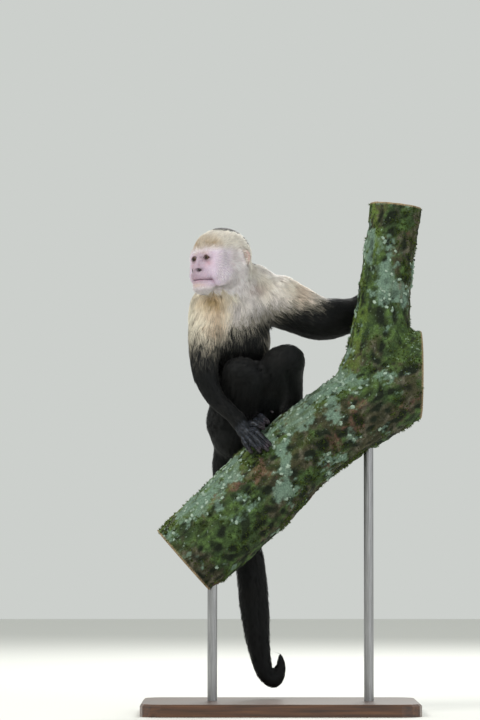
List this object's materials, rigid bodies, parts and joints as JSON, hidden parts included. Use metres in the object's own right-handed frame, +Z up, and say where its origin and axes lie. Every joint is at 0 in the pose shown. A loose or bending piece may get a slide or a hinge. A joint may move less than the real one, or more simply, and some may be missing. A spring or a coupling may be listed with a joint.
{
  "type": "white-faced capuchin monkey model",
  "caption": "Life-size still model of a white-faced capuchin monkey squatting on a cut length of forked tree limb, held by two rods on a plain base.",
  "frame": {"origin": "centre of the underside of the stand's base", "axes": "+Z up; +Y away from the viewer; +X to the viewer's right, the way the limb climbs; the monkey's chest faces the viewer, its head turned to the viewer's left"},
  "size_m": [0.4059, 0.24, 0.7404],
  "materials": {
    "black_coat": "matte",
    "cream_coat": "matte",
    "bare_face": "satin",
    "dark_skin": "satin",
    "eye": "gloss",
    "mossy_bark": "rough",
    "base_wood": "satin",
    "rod_steel": "satin"
  },
  "bodies": {
    "root": {"head": "bare_face", "ear_left": "bare_face", "ear_right": "bare_face", "eye_left": "eye", "eye_right": "eye", "neck": "cream_coat", "chest": "cream_coat", "belly": "black_coat", "upper_arm_left": "cream_coat", "upper_arm_right": "cream_coat", "forearm_left": "black_coat", "forearm_right": "black_coat", "hand_left": "dark_skin", "hand_right": "dark_skin", "thigh_left": "black_coat", "thigh_right": "black_coat", "shin_left": "black_coat", "shin_right": "black_coat", "foot_left": "dark_skin", "foot_right": "dark_skin", "tail_1": "black_coat", "tail_2": "black_coat", "tail_3": "black_coat", "tail_4": "black_coat", "perch": "mossy_bark", "stand_base": "base_wood", "stand_rod_left": "rod_steel", "stand_rod_right": "rod_steel"}
  },
  "joints": []
}
